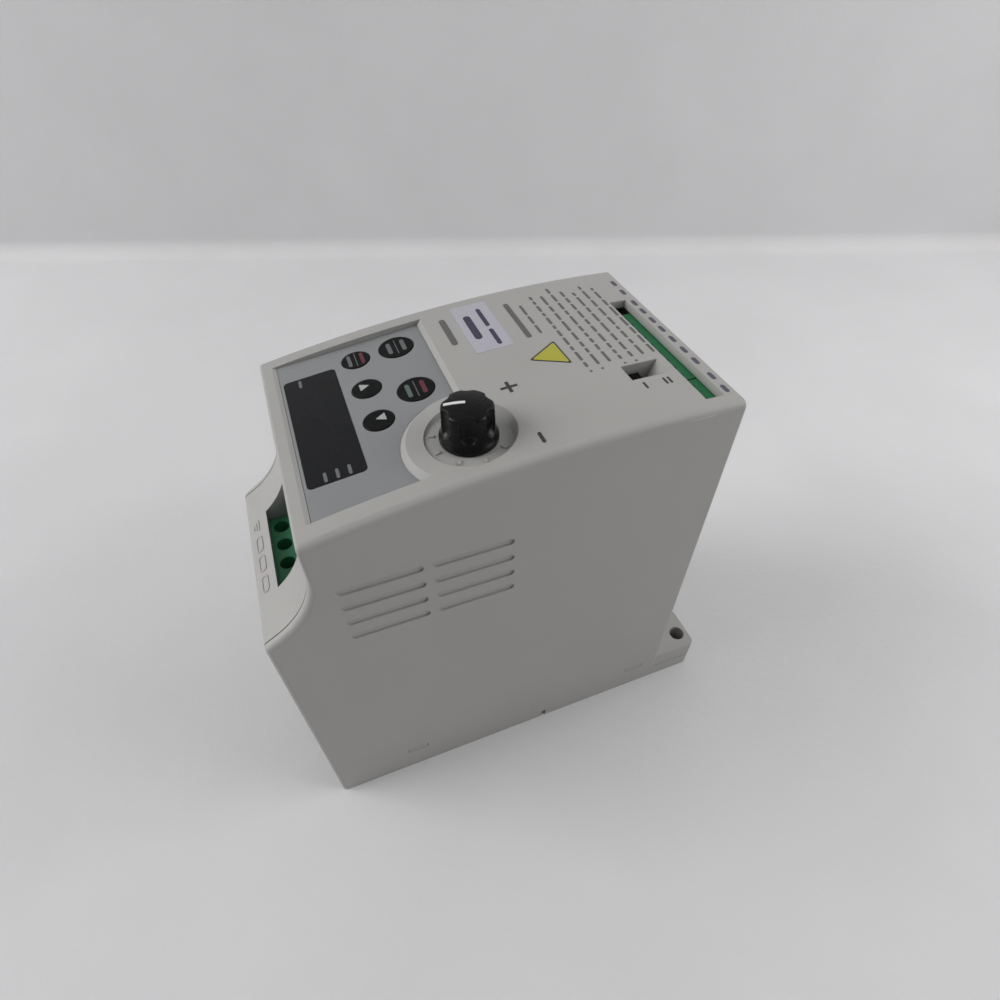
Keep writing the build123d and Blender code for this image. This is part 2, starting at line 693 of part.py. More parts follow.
def input_screws():
    base, top = TERMINAL_DECK, TERMINAL_DECK + BLOCK_HEIGHT
    x = INPUT_SCREW_X
    screws = []
    for y in poles(INPUT_FIRST_Y, INPUT_POLES):
        slot = block(x - 3, x + 3, y - 0.3, y + 0.3, top - 6.2, top)
        head = post(x, y, SCREW_HEAD_R, top - 7.5, top - 5.4) - slot
        screws.append(head + post(x, y, SCREW_R, base + 4.0, top - 7.5))
    return screws


def input_clamps():
    """Plates that each screw presses down on its wire."""
    half_x, half_y = 2.9, 1.9
    return group([block(INPUT_SCREW_X - half_x, INPUT_SCREW_X + half_x, y - half_y, y + half_y,
                        TERMINAL_DECK + 3.1, TERMINAL_DECK + 4.0) for y in poles(INPUT_FIRST_Y, INPUT_POLES)])


def terminal_divider():
    """Dark barrier beyond the mains block's last pole."""
    top = TERMINAL_DECK + DIVIDER_TOP
    wall = block(*INPUT_X, INPUT_Y[1] + 0.1, 49.5, TERMINAL_DECK, top)
    rib = block(*INPUT_X, 43.6, 44.8, top, TERMINAL_DECK + BLOCK_HEIGHT)
    return (wall + rib) & under_panel()


def motor_block():
    """Four-pole motor terminal block: wires and screws both face the end panel."""
    base = TERMINAL_DECK
    z = base + MOTOR_SCREW_Z
    spots = poles(MOTOR_FIRST_Y, MOTOR_POLES)
    body = block(*MOTOR_X, *MOTOR_Y, base, base + BLOCK_HEIGHT)
    for y in spots:
        body = body - rod_x(y, z, SCREW_HEAD_R + BORE_GAP, 109, MOTOR_X[1] + 0.6)
        body = body - rod_x(y, z, SCREW_R + 0.1, 105, 110)
    return body - wire_holes(104, MOTOR_X[1] + 0.6, spots)


def motor_screws():
    z = TERMINAL_DECK + MOTOR_SCREW_Z
    screws = []
    for y in poles(MOTOR_FIRST_Y, MOTOR_POLES):
        head = rod_x(y, z, SCREW_HEAD_R, 109, 111.2) - block(110.4, 112, y - 3, y + 3, z - 0.3, z + 0.3)
        screws.append(head + rod_x(y, z, SCREW_R, 105, 109))
    return screws


# ---------------------------------------------------------------- terminal board parts
def ring(centre, radii, z0, z1):
    return post(*centre, radii[1], z0, z1) - post(*centre, radii[0], z0 - 1, z1 + 1)


def choke_core():
    return ring(CHOKE, CHOKE_RING, *CHOKE_Z)


def choke_windings():
    """Two coils round the ring, one on each side, standing on the board."""
    fit = 0.05
    low, high = TERMINAL_DECK, CHOKE_Z[1] + 2
    coil = ring(CHOKE, CHOKE_COIL, low, high)
    core = ring(CHOKE, (CHOKE_RING[0] - fit, CHOKE_RING[1] + fit), CHOKE_Z[0] - fit, CHOKE_Z[1] + fit)
    x, y = CHOKE
    split = block(x - CHOKE_SPLIT / 2, x + CHOKE_SPLIT / 2, y - 16, y + 16, low - 1, high + 1)
    return group([(coil - core) - split])


def transformer_core():
    """Laminated core with a window on each side of its middle leg."""
    x0, x1 = TRANSFORMER_X
    y0, y1 = TRANSFORMER_Y
    z0, z1 = TRANSFORMER_Z
    core = block(x0, x1, y0, y1, z0, z1)
    for low in (x0 + CORE_YOKE, x1 - CORE_YOKE - CORE_WINDOW):
        core = core - block(low, low + CORE_WINDOW, y0 - 1, y1 + 1, z0 + CORE_YOKE, z1 - CORE_YOKE)
    return core


def transformer_bobbin():
    """Winding round the middle leg, on two feet that stand on the board."""
    fit = 0.1
    x0, x1 = TRANSFORMER_X[0] + CORE_YOKE + fit, TRANSFORMER_X[1] - CORE_YOKE - fit
    y0, y1 = TRANSFORMER_Y
    z0, z1 = TRANSFORMER_Z[0] + CORE_YOKE + fit, TRANSFORMER_Z[1] - CORE_YOKE - fit
    side = CORE_WINDOW - fit
    coil = block(x0, x1, y0 - COIL_OVERHANG, y1 + COIL_OVERHANG, z0, z1)
    coil = coil - block(x0 + side, x1 - side, y0, y1, z0 - 1, z1 + 1)
    feet = block(x0, x1, y0 - COIL_OVERHANG, y0, TERMINAL_DECK, z0)
    feet = feet + block(x0, x1, y1, y1 + COIL_OVERHANG, TERMINAL_DECK, z0)
    return coil + feet


def varistor():
    """Lacquered disc on two wires."""
    x, y, z = VARISTOR
    disc = Pos(*VARISTOR) * Rot(0, 90, 0) * Cylinder(VARISTOR_R, VARISTOR_T)
    disc = fillet(disc.edges().filter_by(GeomType.CIRCLE), 1.4)
    return disc + join([post(x, y + dy, 0.4, TERMINAL_DECK, z - 2.5) for dy in (-2.5, 2.5)])


def fuse():
    return rod_x(*FUSE_AXIS, FUSE_R, *FUSE_X)


def fuse_clips():
    """Sprung clips that hold the fuse, open at the top."""
    y, z = FUSE_AXIS
    clips = []
    for x in CLIP_X:
        clip = block(x, x + CLIP_T, y - 3.4, y + 3.4, TERMINAL_DECK, z + 2.4)
        clip = clip - rod_x(y, z, FUSE_R, FUSE_X[0] - 2, FUSE_X[1] + 2)
        clips.append(clip - block(x - 1, x + CLIP_T + 1, y - 1.8, y + 1.8, z + 1, z + 4))
    return group(clips)


# ---------------------------------------------------------------- control board parts
def display_module():
    """Four-digit module under the window, with shallow segment cells in its face."""
    body = block(*DISPLAY_MODULE, CONTROL_DECK, MODULE_TOP)
    for i in range(DIGITS):
        body = body - digit_cells(DIGIT_X, DISPLAY_MODULE[2] + DIGIT_PITCH * (i + 0.5))
    return body


def digit_cells(x, y):
    """Seven segment cells of one digit, read with the drive's keypad end up."""
    half_w, half_h, half_stroke = 1.9, 3.4, 0.35
    half_bar, half_leg = 1.5, 1.2
    z = (MODULE_TOP - 0.3, MODULE_TOP + 1)
    cells = [block(x + dx - half_stroke, x + dx + half_stroke, y - half_bar, y + half_bar, *z)
             for dx in (-half_h, 0, half_h)]
    for dy in (-half_w, half_w):
        for dx in (-half_h / 2, half_h / 2):
            cells.append(block(x + dx - half_leg, x + dx + half_leg, y + dy - half_stroke,
                               y + dy + half_stroke, *z))
    return join(cells)


def indicator_leds():
    """Small round lamps beside the digits."""
    leds = []
    for x, y in LED_SPOTS:
        body = post(x, y, LED_R, CONTROL_DECK, LED_TOP)
        leds.append(fillet(body.edges().group_by(Axis.Z)[-1], 0.8))
    return group(leds)


def film_sheet(x0, x1, y0, y1):
    """A piece of the film's own thickness and slope."""
    return prism_y([(x0, film_z(x0) - FILM_T), (x1, film_z(x1) - FILM_T), (x1, film_z(x1)), (x0, film_z(x0))],
                   y0, y1)


def display_window():
    sheet = film_sheet(DISPLAY_X[0] - 1, DISPLAY_X[1] + 1, DISPLAY_Y[0] - 1, DISPLAY_Y[1] + 1)
    return sheet & window_outline(0)


def keypad_film():
    sheet = film_sheet(RECESS_X[0] + FILM_GAP, RECESS_X[1] - FILM_GAP, RECESS_Y[0] + FILM_GAP,
                       RECESS_Y[1] - FILM_GAP)
    sheet = sheet - land(FILM_GAP) - window_outline(0.08)
    for x, y, r in KEYS.values():
        sheet = sheet - post(x, y, r + KEY_GAP, CONTROL_Z, CREST)
    return sheet


def key_cap(x, y, r):
    """Key disc a little proud of the film, held by a flange under the recess floor."""
    flange_top = film_z(x - r - KEY_FLANGE) - FILM_T - FLOOR_T - 0.1
    flange_low = flange_top - KEY_FLANGE
    reach = r + 0.5
    disc = under_film(x - reach, x + reach, y - reach, y + reach, flange_low, -KEY_PROUD)
    disc = disc & post(x, y, r, CONTROL_Z, CREST)
    disc = fillet(disc.edges().group_by(Axis.Z)[-1], 0.2)
    flange = post(x, y, r + KEY_FLANGE, flange_low, flange_top)
    return disc + flange + post(x, y, PLUNGER_R - 0.1, PLUNGER_TOP, flange_low)


def key_plunger(x, y):
    return post(x, y, PLUNGER_R, PLUNGER_TOP - PLUNGER_LENGTH, PLUNGER_TOP)


def tact_switches():
    """Square switch bodies under the keys, with the wells that the plungers slide in."""
    half = SWITCH_SIDE / 2
    bodies = []
    for x, y, _ in KEYS.values():
        body = block(x - half, x + half, y - half, y + half, CONTROL_DECK, PLUNGER_TOP - 0.9)
        bodies.append(body - post(x, y, PLUNGER_R + SHAFT_GAP, CONTROL_DECK + 0.6, PLUNGER_TOP))
    return group(bodies)


def pot_body():
    """Potentiometer with a plain bushing that the shaft turns in."""
    x, y = KNOB
    half_x, half_y, height, bushing_r = 5.0, 6.5, 6.0, 4.2
    body = block(x - half_x, x + half_x, y - half_y, y + half_y, CONTROL_DECK, CONTROL_DECK + height)
    body = body + post(x, y, bushing_r, CONTROL_DECK + height, DISH_Z - FLOOR_T - 1.4)
    return body - post(x, y, SHAFT_R + SHAFT_GAP, CONTROL_DECK + 1, CREST)


def pot_shaft():
    return post(*KNOB, SHAFT_R, CONTROL_DECK + 1.2, KNOB_TOP - SHAFT_DEPTH)


def knob_solid(grow):
    """The knob turned round its axis: skirt, straight grip, nearly flat top."""
    skirt, grip = SKIRT_R + grow, GRIP_R + grow
    top = KNOB_TOP + grow
    shoulder = top - DOME_H
    dome_r = (grip**2 + DOME_H**2) / (2 * DOME_H)
    half = math.asin(grip / dome_r) / 2
    crown = (dome_r * math.sin(half), 0, top - dome_r * (1 - math.cos(half)))
    skirt_top, grip_foot = KNOB_BASE + 1.0, KNOB_BASE + 3.0
    outline = [
        Line((0, 0, KNOB_BASE), (skirt, 0, KNOB_BASE)),
        Line((skirt, 0, KNOB_BASE), (skirt, 0, skirt_top)),
        ThreePointArc((skirt, 0, skirt_top), (grip + 0.42, 0, KNOB_BASE + 1.9), (grip + 0.15, 0, grip_foot)),
        Line((grip + 0.15, 0, grip_foot), (grip, 0, shoulder)),
        ThreePointArc((grip, 0, shoulder), crown, (0, 0, top)),
        Line((0, 0, top), (0, 0, KNOB_BASE)),
    ]
    turned = revolve(make_face(Wire(outline)), Axis.Z)
    rim = turned.edges().filter_by(lambda e: abs(e.center().Z - shoulder) < 0.01)
    return Pos(*KNOB, 0) * fillet(rim, SHOULDER_ROUND)


def pointer():
    """White line let into the knob's top, from the middle to the rim."""
    shell = knob_solid(POINTER_PROUD) - knob_solid(-POINTER_DEPTH)
    x0, x1 = POINTER_X
    slab = Pos((x0 + x1) / 2, 0, KNOB_TOP) * Box(x1 - x0, POINTER_WIDTH, 8)
    return shell & (Pos(*KNOB, 0) * Rot(0, 0, POINTER_ANGLE) * slab)


def knob():
    """Fluted knob, bored for the shaft and slotted for its pointer."""
    solid = knob_solid(0)
    offset = GRIP_R + FLUTE_R - FLUTE_DEPTH
    low = KNOB_BASE + FLUTE_END
    for i in range(FLUTES):
        angle = math.radians(FLUTE_ANGLE + 360 / FLUTES * i)
        x, y = KNOB[0] + offset * math.cos(angle), KNOB[1] + offset * math.sin(angle)
        solid = solid - (post(x, y, FLUTE_R, low, KNOB_TOP + 1) + Pos(x, y, low) * Sphere(FLUTE_R))
    return solid - pointer() - post(*KNOB, SHAFT_R, KNOB_BASE - 1, KNOB_TOP - SHAFT_DEPTH)


def selector_body():
    """Slide switch under the pit, with the track that its lever runs in."""
    body = block(94.2, 104.2, 15.8, 22.2, CONTROL_DECK, SELECTOR_TOP)
    track = block(LEVER_X - 1.2, LEVER_X + LEVER_TRAVEL + 1.2, LEVER_Y - 0.85, LEVER_Y + 0.85,
                  SELECTOR_TOP - 3.4, SELECTOR_TOP + 1)
    return body - track


def selector_lever():
    """Lever with three grip lines across its top."""
    half_x, half_y = LEVER_SIZE[0] / 2, LEVER_SIZE[1] / 2
    stem = block(LEVER_X - 0.9, LEVER_X + 0.9, LEVER_Y - 0.6, LEVER_Y + 0.6, SELECTOR_TOP - 3.1,
                 SELECTOR_TOP + 1)
    grip = rounded_box(LEVER_X - half_x, LEVER_X + half_x, LEVER_Y - half_y, LEVER_Y + half_y,
                       SELECTOR_TOP + 0.3, LEVER_TOP, 0.3)
    half_line, spacing, reach = 0.15, 0.8, half_y + 1
    for i in (-1, 0, 1):
        x = LEVER_X + spacing * i
        grip = grip - block(x - half_line, x + half_line, LEVER_Y - reach, LEVER_Y + reach,
                            LEVER_TOP - 0.3, LEVER_TOP + 1)
    return stem + grip


def control_block(span, first, pitch, count):
    """Control terminal block: screws seen through the slot, wires from the end."""
    x0, x1 = CONTROL_BLOCK_X
    body = block(x0, x1, *span, CONTROL_DECK, CONTROL_TOP)
    for i in range(count):
        y = first + pitch * i
        body = body - post(CONTROL_SCREW_X, y, 1.3, CONTROL_TOP - 4, CONTROL_TOP + 1)
        body = body - block(x0 + 2.4, x1 + 0.4, y - 1.25, y + 1.25, CONTROL_DECK + 3, CONTROL_DECK + 5.6)
    return body


def control_screws():
    screws = []
    x, top = CONTROL_SCREW_X, CONTROL_TOP
    for _, first, pitch, count in CONTROL_POLES.values():
        for i in range(count):
            y = first + pitch * i
            head = post(x, y, 1.2, top - 4, top - 1.6)
            screws.append(head - block(x - 2, x + 2, y - 0.2, y + 0.2, top - 2.2, top))
    return group(screws)


def processor():
    """Flat chip with legs on its four sides."""
    x0, x1, y0, y1 = PROCESSOR
    x, y = (x0 + x1) / 2, (y0 + y1) / 2
    legs_per_side, pitch, half, reach = 9, 1.4, 0.25, 1.0
    z = (CONTROL_DECK, CONTROL_DECK + 0.3)
    pieces = [block(x0, x1, y0, y1, CONTROL_DECK + 0.2, CONTROL_DECK + 1.6)]
    for i in range(legs_per_side):
        d = pitch * (i - legs_per_side // 2)
        pieces.append(block(x + d - half, x + d + half, y0 - reach, y1 + reach, *z))
        pieces.append(block(x0 - reach, x1 + reach, y + d - half, y + d + half, *z))
    return join(pieces)


def small_capacitors():
    return group([post(x, y, 2.5, CONTROL_DECK, SMALL_CAPACITOR_TOP) for x, y in SMALL_CAPACITORS])


# ---------------------------------------------------------------- files
PARTS = {
    "front_case": case(),
    "terminal_panel": terminal_panel(),
    "end_panel": end_panel(),
    "heat_sink": heat_sink(),
    "base_tray": base_tray(),
    "board_standoffs": all_standoffs(),
    "board_screws": board_screws(),
    "power_board": board(4.6, 112, POWER_Z),
    "terminal_board": board(2.5, 113.4, TERMINAL_Z),
    "control_board": board(17.2, 113.4, CONTROL_Z),
    "thermal_pad": block(*POWER_MODULE, SINK_TOP, SINK_TOP + THERMAL_PAD_T),
    "power_module": pinned_chip(*POWER_MODULE, SINK_TOP + THERMAL_PAD_T, 22.3, 7),
    "bridge_rectifier": pinned_chip(*BRIDGE_RECTIFIER, SINK_TOP, 21, 2),
    "gate_driver": block(*GATE_DRIVER, POWER_DECK, POWER_DECK + 2),
    "board_links": group([deck_link(107, 12, POWER_DECK, TERMINAL_Z),
                          deck_link(94, 24, TERMINAL_DECK, CONTROL_Z)]),
    "input_terminal_block": input_block(),
    "power_terminal_screws": group(input_screws() + motor_screws()),
    "input_terminal_clamps": input_clamps(),
    "terminal_divider": terminal_divider(),
    "motor_terminal_block": motor_block(),
    "choke_core": choke_core(),
    "choke_windings": choke_windings(),
    "transformer_core": transformer_core(),
    "transformer_bobbin": transformer_bobbin(),
    "inrush_relay": rounded_box(*INRUSH_RELAY, TERMINAL_DECK, TERMINAL_BOX_TOP, 0.8),
    "film_capacitor": rounded_box(*FILM_CAPACITOR, TERMINAL_DECK, TERMINAL_BOX_TOP, 1.0),
    "varistor": varistor(),
    "fuse": fuse(),
    "fuse_clips": fuse_clips(),
    "display_module": display_module(),
    "indicator_leds": indicator_leds(),
    "display_window": display_window(),
    "keypad_film": keypad_film(),
    "tact_switches": tact_switches(),
    "pot_body": pot_body(),
    "pot_shaft": pot_shaft(),
    "knob": knob(),
    "knob_pointer": pointer(),
    "selector_body": selector_body(),
    "selector_lever": selector_lever(),
    "control_terminal_screws": control_screws(),
    "alarm_relay": rounded_box(*ALARM_RELAY, CONTROL_DECK, 121.5, 0.6),
    "processor": processor(),
    "small_capacitors": small_capacitors(),
}
for i, spot in enumerate(BUS_CAPACITORS):
    PARTS[f"bus_capacitor_{i + 1}"] = bus_capacitor(*spot)
for block_name, (span, first, pitch, count) in CONTROL_POLES.items():
    PARTS[block_name] = control_block(span, first, pitch, count)
for key_name, (key_x, key_y, key_r) in KEYS.items():
    PARTS[f"key_{key_name}"] = key_cap(key_x, key_y, key_r)
    PARTS[f"plunger_{key_name}"] = key_plunger(key_x, key_y)

for part_name, part_shape in PARTS.items():
    save(part_name, part_shape)
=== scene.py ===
import json
import math
import random

import bmesh
import bpy
from mathutils import Matrix, Vector


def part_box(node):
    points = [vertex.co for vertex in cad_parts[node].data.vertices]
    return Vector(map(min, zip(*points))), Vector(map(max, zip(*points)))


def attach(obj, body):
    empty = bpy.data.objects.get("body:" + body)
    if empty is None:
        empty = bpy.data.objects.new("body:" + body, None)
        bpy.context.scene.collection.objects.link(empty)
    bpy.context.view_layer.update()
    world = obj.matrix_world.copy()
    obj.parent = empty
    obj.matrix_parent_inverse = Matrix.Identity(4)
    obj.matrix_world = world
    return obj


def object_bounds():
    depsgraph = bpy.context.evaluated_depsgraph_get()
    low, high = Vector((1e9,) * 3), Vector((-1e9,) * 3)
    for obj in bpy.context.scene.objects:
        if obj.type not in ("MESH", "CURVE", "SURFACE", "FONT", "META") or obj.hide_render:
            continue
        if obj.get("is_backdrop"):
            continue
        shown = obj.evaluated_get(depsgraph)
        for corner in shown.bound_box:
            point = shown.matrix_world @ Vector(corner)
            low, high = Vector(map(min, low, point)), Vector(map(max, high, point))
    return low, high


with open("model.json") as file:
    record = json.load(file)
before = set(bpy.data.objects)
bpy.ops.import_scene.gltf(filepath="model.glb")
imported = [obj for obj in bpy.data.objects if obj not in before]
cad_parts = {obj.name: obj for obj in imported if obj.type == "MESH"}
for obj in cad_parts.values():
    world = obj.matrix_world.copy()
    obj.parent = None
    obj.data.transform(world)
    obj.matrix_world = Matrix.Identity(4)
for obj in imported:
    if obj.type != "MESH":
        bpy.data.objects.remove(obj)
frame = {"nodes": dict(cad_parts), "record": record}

# Looks of a compact variable frequency drive that lies on its mounting back.
# Places on the drive are millimetres from the corner of its box: x from the keypad end,
# y from the near side, z up from the mounting plane.

CAD_LOW, CAD_HIGH = (corner.copy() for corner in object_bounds())
NODES = frame["nodes"]
MM = 0.001


def at(x, y, z=0.0):
    """A place on the drive as a point in the row frame."""
    return Vector((CAD_LOW.x, CAD_LOW.y, 0.0)) + Vector((x, y, z)) * MM


def span(node):
    """A CAD node's box as millimetres on the drive."""
    low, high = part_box(node)
    return (low - at(0, 0)) / MM, (high - at(0, 0)) / MM


# ---------------------------------------------------------------- materials
def srgb(red, green, blue):
    """A colour given as 8-bit values, as the linear colour that a shader takes."""
    def linear(value):
        share = value / 255
        return share / 12.92 if share <= 0.04045 else ((share + 0.055) / 1.055) ** 2.4

    return (linear(red), linear(green), linear(blue), 1.0)


class Finish:
    """A material on one Principled shader, with textures laid in the row frame's metres."""

    def __init__(self, name, colour, roughness, **sockets):
        self.material = bpy.data.materials.new(name)
        self.material.use_nodes = True
        self.nodes = self.material.node_tree.nodes
        self.links = self.material.node_tree.links
        self.shader = self.nodes["Principled BSDF"]
        self.colour = colour
        self.place = self.nodes.new("ShaderNodeTexCoord").outputs["Object"]
        self.set("Base Color", colour)
        self.set("Roughness", roughness)
        for socket, value in sockets.items():
            self.set(socket.replace("_", " "), value)
        self.height = None

    def set(self, socket, value):
        self.shader.inputs[socket].default_value = value

    def noise(self, size_mm, detail=2.0, stretch=(1, 1, 1)):
        """Noise whose features are about size_mm across, and longer along a stretched axis."""
        texture = self.nodes.new("ShaderNodeTexNoise")
        texture.inputs["Scale"].default_value = 1 / (size_mm * MM)
        texture.inputs["Detail"].default_value = detail
        self.links.new(self.stretched(stretch), texture.inputs["Vector"])
        return texture.outputs["Fac"]

    def stretched(self, stretch):
        if stretch == (1, 1, 1):
            return self.place
        mapping = self.nodes.new("ShaderNodeMapping")
        mapping.inputs["Scale"].default_value = [1 / s for s in stretch]
        self.links.new(self.place, mapping.inputs["Vector"])
        return mapping.outputs["Vector"]

    def cells(self, size_mm, stretch=(1, 1, 1)):
        """Distance to the nearest of many scattered points about size_mm apart."""
        texture = self.nodes.new("ShaderNodeTexVoronoi")
        texture.inputs["Scale"].default_value = 1 / (size_mm * MM)
        self.links.new(self.stretched(stretch), texture.inputs["Vector"])
        return texture.outputs["Distance"]

    def spread(self, value, low, high):
        """A 0 to 1 value taken to the range low to high, from its middle half."""
        ranged = self.nodes.new("ShaderNodeMapRange")
        ranged.inputs["From Min"].default_value = 0.3
        ranged.inputs["From Max"].default_value = 0.7
        ranged.inputs["To Min"].default_value = low
        ranged.inputs["To Max"].default_value = high
        self.links.new(value, ranged.inputs["Value"])
        return ranged.outputs["Result"]

    def mottle(self, amount, size_mm, detail=3.0, stretch=(1, 1, 1)):
        """Lets the colour drift lighter and darker by amount."""
        tint = self.nodes.new("ShaderNodeMix")
        tint.data_type = "RGBA"
        tint.inputs["A"].default_value = [c * (1 - amount) for c in self.colour[:3]] + [1]
        tint.inputs["B"].default_value = [min(1, c * (1 + amount)) for c in self.colour[:3]] + [1]
        drift = self.spread(self.noise(size_mm, detail, stretch), 0, 1)
        self.links.new(drift, tint.inputs["Factor"])
        self.links.new(tint.outputs["Result"], self.shader.inputs["Base Color"])
        return self

    def rough(self, low, high, size_mm, detail=4.0, stretch=(1, 1, 1)):
        """Lets the roughness drift between two values, as handling leaves it."""
        value = self.spread(self.noise(size_mm, detail, stretch), low, high)
        self.links.new(value, self.shader.inputs["Roughness"])
        return self

    def grain(self, size_mm, depth_mm, detail=2.0, stretch=(1, 1, 1), cells=False):
        """Adds a fine relief of about depth_mm to the surface."""
        source = self.cells(size_mm, stretch) if cells else self.noise(size_mm, detail, stretch)
        bump = self.nodes.new("ShaderNodeBump")
        bump.inputs["Distance"].default_value = depth_mm * MM
        bump.inputs["Strength"].default_value = 1.0
        self.links.new(source, bump.inputs["Height"])
        if self.height is not None:
            self.links.new(self.height, bump.inputs["Normal"])
        self.height = bump.outputs["Normal"]
        self.links.new(self.height, self.shader.inputs["Normal"])
        return self

    def soften(self, radius_mm):
        """Rounds sharp edges a little in the shading, before any grain."""
        bevel = self.nodes.new("ShaderNodeBevel")
        bevel.samples = 4
        bevel.inputs["Radius"].default_value = radius_mm * MM
        self.height = bevel.outputs["Normal"]
        self.links.new(self.height, self.shader.inputs["Normal"])
        return self


def plastic(name, colour, roughness, grain_mm=0.22, depth_mm=0.006):
    finish = Finish(name, colour, roughness, IOR=1.49)
    finish.mottle(0.03, 9).rough(roughness - 0.05, roughness + 0.05, 6)
    return finish.grain(grain_mm, depth_mm)


def case_finish():
    finish = Finish("case_plastic", srgb(165, 164, 161), 0.5, IOR=1.5)
    finish.mottle(0.018, 22).rough(0.46, 0.56, 11)
    return finish.soften(0.25).grain(0.3, 0.007, detail=3).grain(1.7, 0.006)


def film_finish():
    finish = Finish("film_grey", srgb(135, 136, 137), 0.46, IOR=1.5)
    finish.mottle(0.02, 14).rough(0.42, 0.52, 7)
    return finish.grain(0.16, 0.004)


def window_finish():
    finish = Finish("window_dark", srgb(20, 21, 23), 0.24, IOR=1.45, Specular_IOR_Level=0.25)
    finish.mottle(0.04, 12).rough(0.22, 0.3, 14)
    return finish.grain(7, 0.003)


def key_finish():
    finish = Finish("key_black", srgb(13, 14, 15), 0.42, IOR=1.45, Specular_IOR_Level=0.15)
    finish.mottle(0.06, 3).rough(0.36, 0.48, 3)
    return finish.soften(0.12).grain(0.14, 0.003)


def knob_finish():
    finish = Finish("knob_black", srgb(10, 10, 11), 0.26, IOR=1.48, Specular_IOR_Level=0.25)
    finish.mottle(0.1, 4).rough(0.2, 0.33, 2.5)
    return finish.soften(0.35).grain(1.2, 0.004)


def pointer_finish():
    finish = Finish("pointer_white", srgb(228, 228, 226), 0.3, IOR=1.5)
    return finish.mottle(0.02, 0.8).rough(0.25, 0.36, 1).grain(0.2, 0.003)


def metal(name, colour, roughness, stretch, scratch_mm=0.12, **sockets):
    """Metal with fine drawn lines along the stretched axis."""
    finish = Finish(name, colour, roughness, Metallic=1.0, **sockets)
    finish.mottle(0.06, 4).rough(roughness - 0.1, roughness + 0.12, scratch_mm * 3, stretch=stretch)
    return finish.grain(scratch_mm, 0.006, stretch=stretch)


def board_finish():
    """Green solder mask with faint tracks under it."""
    finish = Finish("circuit_board", srgb(24, 84, 52), 0.34, IOR=1.5,
                    Coat_Weight=0.3, Coat_Roughness=0.2)
    finish.mottle(0.22, 1.6, detail=0, stretch=(1, 9, 1)).rough(0.28, 0.42, 4)
    return finish.grain(1.2, 0.012, stretch=(7, 1, 1))


def glass_finish():
    finish = Finish("fuse_glass", srgb(235, 240, 240), 0.06, IOR=1.5, Transmission_Weight=0.85)
    return finish.mottle(0.02, 3).grain(2, 0.004)


FINISHES = {
    "case_plastic": case_finish(),
    "heat_sink_aluminium": metal("heat_sink_aluminium", srgb(190, 192, 195), 0.38, (60, 1, 1)),
    "steel": metal("steel", srgb(196, 196, 192), 0.32, (1, 6, 1)),
    "circuit_board": board_finish(),
    "soft_pad": plastic("soft_pad", srgb(190, 190, 200), 0.8, 0.4, 0.02),
    "black_plastic": plastic("black_plastic", srgb(20, 20, 21), 0.5),
    "terminal_green": plastic("terminal_green", srgb(56, 138, 92), 0.5, 0.35, 0.01),
    "divider_grey": plastic("divider_grey", srgb(70, 72, 71), 0.5),
    "ferrite": plastic("ferrite", srgb(62, 62, 64), 0.6, 0.3, 0.02),
    "copper": metal("copper", srgb(206, 128, 84), 0.3, (1, 1, 8), 0.4),
    "bobbin_yellow": plastic("bobbin_yellow", srgb(206, 172, 70), 0.42, 0.6, 0.01),
    "varistor_blue": plastic("varistor_blue", srgb(56, 96, 168), 0.3, 0.5, 0.02),
    "fuse_glass": glass_finish(),
    "led_red": plastic("led_red", srgb(170, 40, 32), 0.25, 0.4, 0.003),
    "window_dark": window_finish(),
    "film_grey": film_finish(),
    "knob_black": knob_finish(),
    "pointer_white": pointer_finish(),
    "key_black": key_finish(),
    "can_sleeve": plastic("can_sleeve", srgb(38, 40, 62), 0.3, 0.8, 0.006),
}


def ink(name, colour, roughness=0.55):
    """Printed ink or a sticker's face: a little uneven, with its own faint grain."""
    finish = Finish(name, colour, roughness, IOR=1.48)
    finish.mottle(0.05, 0.7).rough(roughness - 0.06, roughness + 0.06, 1.2)
    return finish.grain(0.15, 0.002)


INKS = {
    "case_ink": ink("case_ink", srgb(96, 95, 94)),
    "dark_ink": ink("dark_ink", srgb(52, 50, 52)),
    "strip_ink": ink("strip_ink", srgb(82, 78, 92)),
    "label_face": ink("label_face", srgb(176, 174, 183), 0.38),
    "label_ink": ink("label_ink", srgb(62, 56, 78)),
    "notice_yellow": ink("notice_yellow", srgb(172, 168, 60), 0.4),
    "light_ink": ink("light_ink", srgb(170, 172, 172)),
    "grey_ink": ink("grey_ink", srgb(98, 102, 104)),
    "green_ink": ink("green_ink", srgb(84, 104, 94)),
    "red_ink": ink("red_ink", srgb(98, 38, 50)),
    "window_ink": ink("window_ink", srgb(104, 105, 108)),
}


def paint(piece, material):
    piece.data.materials.clear()
    piece.data.materials.append(material)


def paint_cad():
    """Gives every CAD node the finish of its material slot in the record."""
    for row in frame["record"]["subparts"]:
        paint(NODES[row["node"]], FINISHES[row["material_slot"]].material)


# ---------------------------------------------------------------- thin printed pieces
def top_of(node, x, y):
    """Height in millimetres of a CAD node's upper skin at a place on the drive."""
    hit, point, _, _ = NODES[node].ray_cast(at(x, y, 200), Vector((0, 0, -1)))
    if not hit:
        raise ValueError(f"{node} has no skin at x {x:.2f}, y {y:.2f}")
    return point.z / MM


